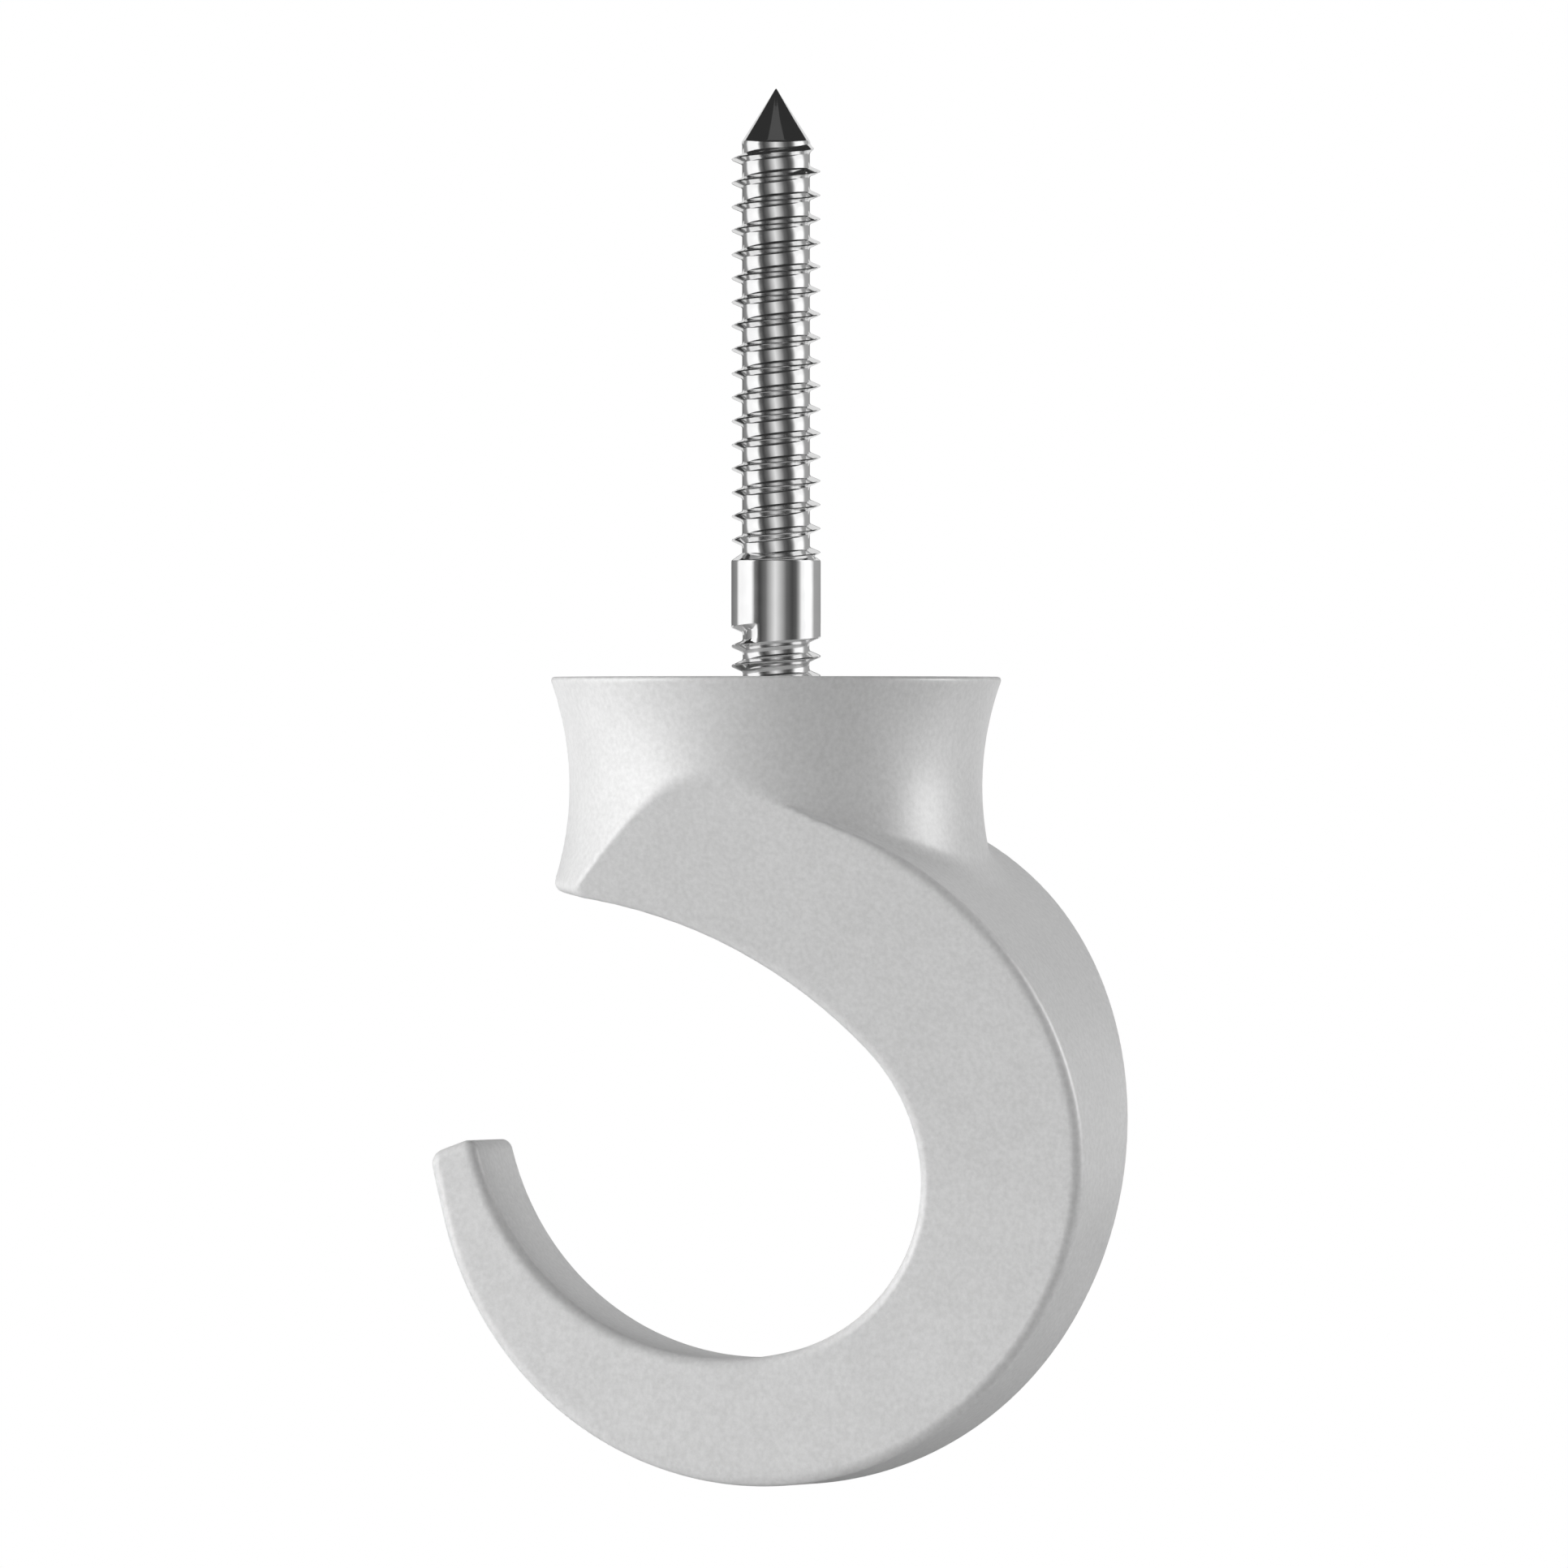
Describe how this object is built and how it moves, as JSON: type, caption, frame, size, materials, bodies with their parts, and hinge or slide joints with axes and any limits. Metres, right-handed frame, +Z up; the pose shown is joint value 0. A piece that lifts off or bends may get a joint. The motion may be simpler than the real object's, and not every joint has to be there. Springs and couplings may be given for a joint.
{
  "type": "screw hook",
  "caption": "Ceiling screw hook: a thick cast crescent hook under an hourglass collar, with a threaded hanger screw standing out of the collar's top.",
  "frame": {"origin": "centre of the collar's flat top face, the face that meets the ceiling", "axes": "+Z up along the screw, away from the hook; the hook's bend lies in the XZ plane and opens towards -X; the two flat faces look along -Y and +Y"},
  "size_m": [0.0377, 0.0244, 0.0755],
  "materials": {
    "lacquered_casting": "matte, fine grain",
    "plated_screw": "bright plated"
  },
  "bodies": {
    "root": {"hook_body": "lacquered_casting", "hanger_screw": "plated_screw"}
  },
  "joints": []
}
